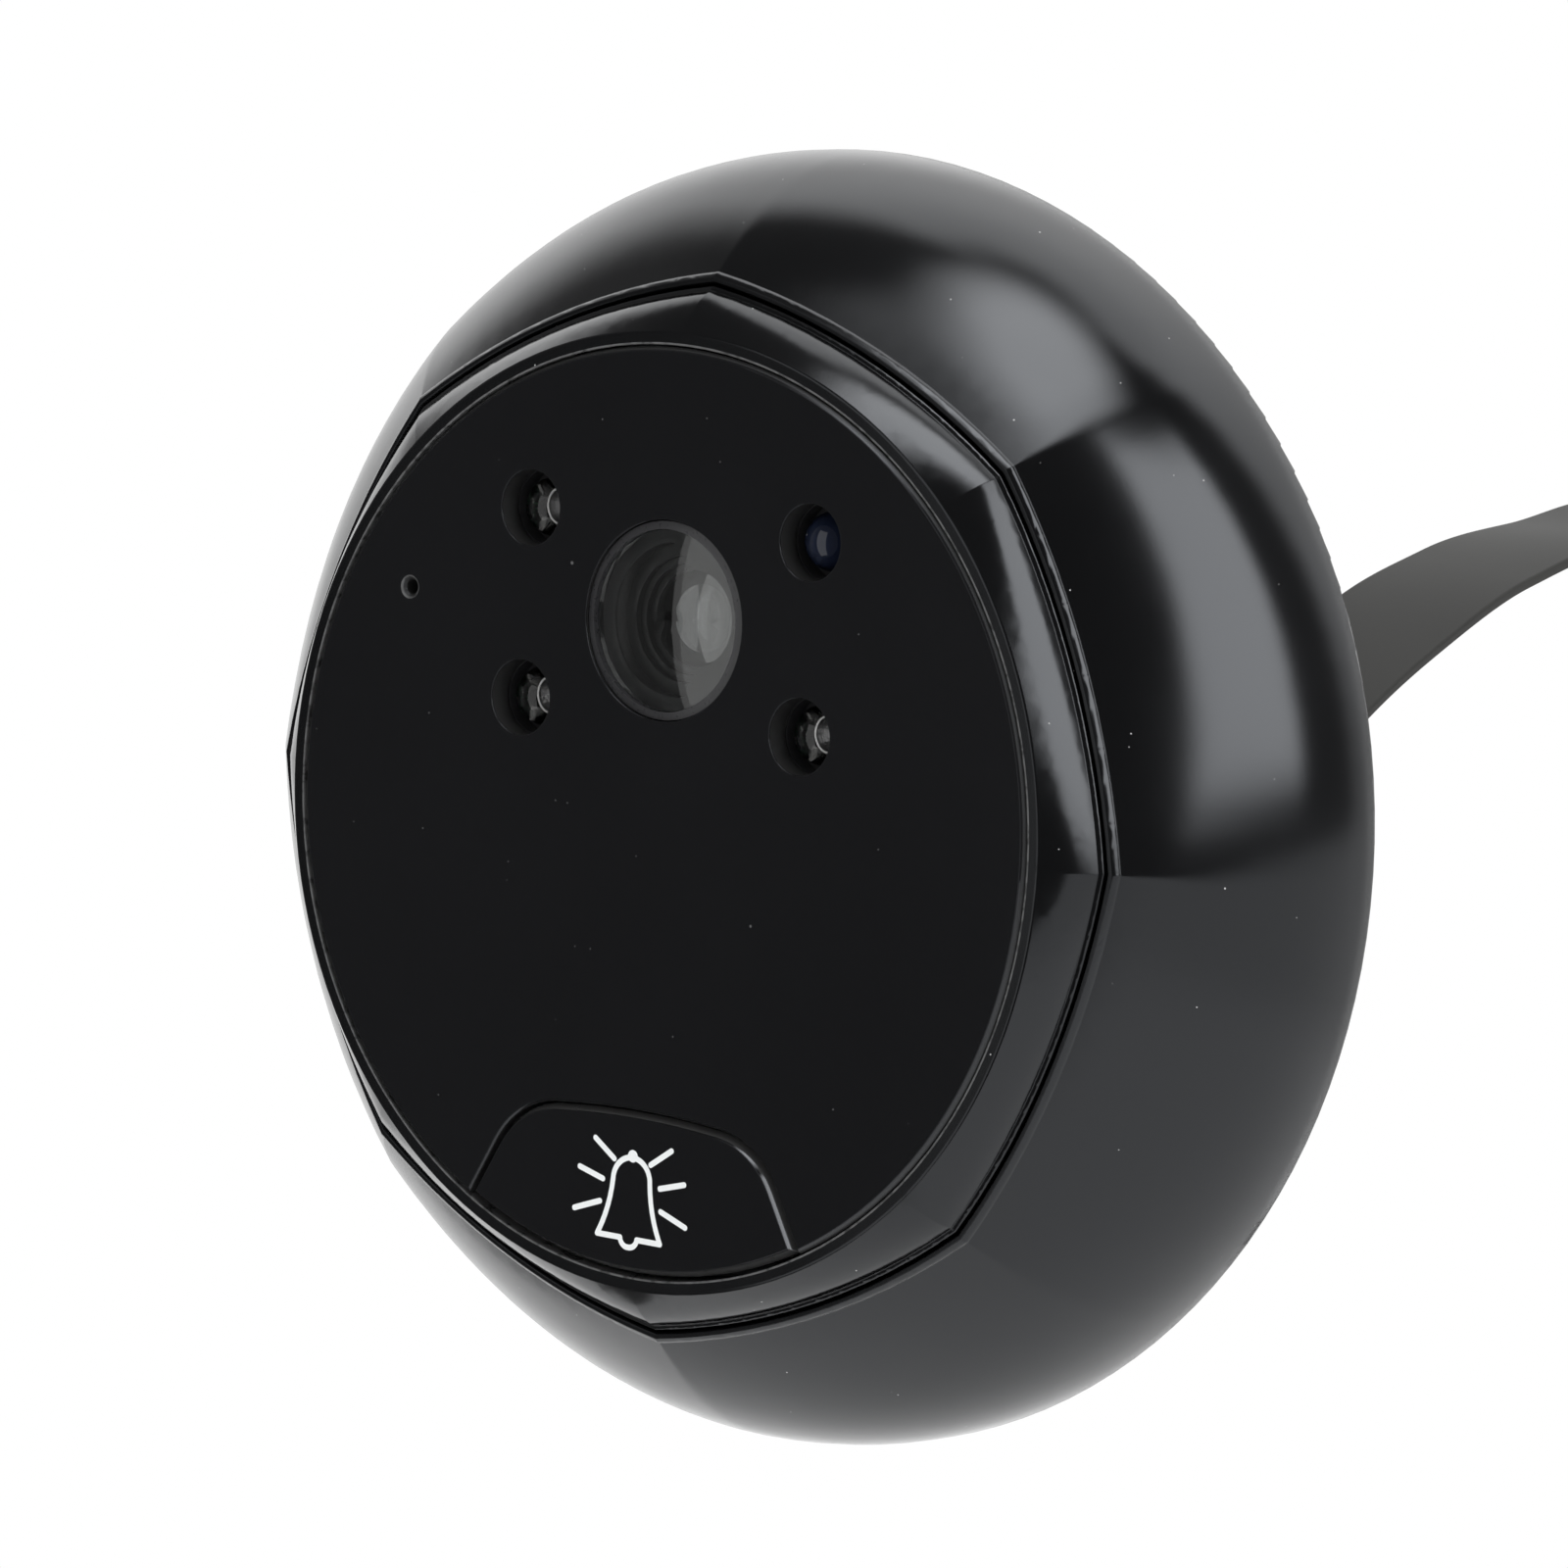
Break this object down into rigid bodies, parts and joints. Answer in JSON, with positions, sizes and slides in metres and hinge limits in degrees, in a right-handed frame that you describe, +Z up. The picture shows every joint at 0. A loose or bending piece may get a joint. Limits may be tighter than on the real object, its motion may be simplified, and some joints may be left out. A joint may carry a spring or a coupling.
{
  "type": "peephole door camera",
  "caption": "Round door-viewer camera with an octagonal bezel, flat gloss panel, wide-angle lens, infrared lamps, a sprung bell button, a hollow through-door tube and a flat ribbon cable.",
  "frame": {"origin": "centre of the rear face of the foam pad, the face that presses on the door", "axes": "+Y out of the rear, into the door, -Y towards the visitor, +Z up, +X to the right seen from the front"},
  "size_m": [0.063, 0.1119, 0.1152],
  "materials": {
    "gloss_black": "high-gloss moulded plastic",
    "panel_black": "mirror-gloss acrylic",
    "button_black": "mirror-gloss acrylic",
    "symbol_white": "white print",
    "matte_black": "fine-grained moulded plastic",
    "lens_ring_black": "satin",
    "lens_glass": "polished, coated",
    "filter_glass": "polished",
    "lamp_clear": "clear moulded epoxy",
    "sensor_blue": "dark blue moulded epoxy",
    "seal_rubber": "soft rubber",
    "foam": "closed-cell foam",
    "tape": "double-sided tape",
    "board_green": "solder mask",
    "chip_black": "moulded package",
    "passive_tan": "fired ceramic",
    "lamp_white": "phosphor-filled package",
    "capsule_metal": "drawn can",
    "switch_black": "moulded nylon",
    "plunger_cream": "moulded nylon",
    "screw_steel": "zinc plated",
    "tube_metal": "nickel plated",
    "ribbon_grey": "matte jacket",
    "plug_white": "moulded nylon",
    "contact_gold": "plated"
  },
  "bodies": {
    "unit": {"housing_ring": "gloss_black", "octagonal_bezel": "gloss_black", "bezel_seal": "seal_rubber", "front_panel": "panel_black", "panel_tape": "tape", "tact_switch": "switch_black", "button_backlights": "lamp_white", "lens_front_ring": "lens_ring_black", "front_glass": "lens_glass", "lens_spacer": "matte_black", "middle_lens": "lens_glass", "middle_lens_seat": "matte_black", "inner_lens_spacer": "matte_black", "rear_lens": "lens_glass", "lens_barrel": "matte_black", "lens_seal": "seal_rubber", "lens_holder": "matte_black", "infrared_filter": "filter_glass", "image_sensor": "chip_black", "infrared_lamps": "lamp_clear", "light_sensor": "sensor_blue", "lamp_sleeves": "matte_black", "microphone": "capsule_metal", "microphone_boot": "seal_rubber", "main_board": "board_green", "board_chips": "chip_black", "board_passives": "passive_tan", "board_screws": "screw_steel", "rear_cover": "matte_black", "cover_gasket": "seal_rubber", "cover_screws": "screw_steel", "door_pad": "foam", "threaded_tube": "tube_metal", "tube_nut": "tube_metal", "cable_grommet": "seal_rubber", "ribbon_socket": "plug_white", "ribbon_inner_run": "ribbon_grey", "ribbon_cable": "ribbon_grey", "ribbon_plug": "plug_white", "plug_contacts": "contact_gold"},
    "button": {"doorbell_button": "button_black", "bell_symbol": "symbol_white"},
    "plunger": {"switch_plunger": "plunger_cream"}
  },
  "joints": [
    {"name": "button_press", "type": "slide", "parent": "unit", "child": "button", "axis": [0, 1, 0], "range_m": [0, 0.0005], "stiffness_N_per_m": 3000},
    {"name": "plunger_press", "type": "slide", "parent": "unit", "child": "plunger", "axis": [0, 1, 0], "range_m": [0, 0.0005]}
  ],
  "couplings": [
    {"joint": "plunger_press", "follows": "button_press", "ratio": 1}
  ]
}
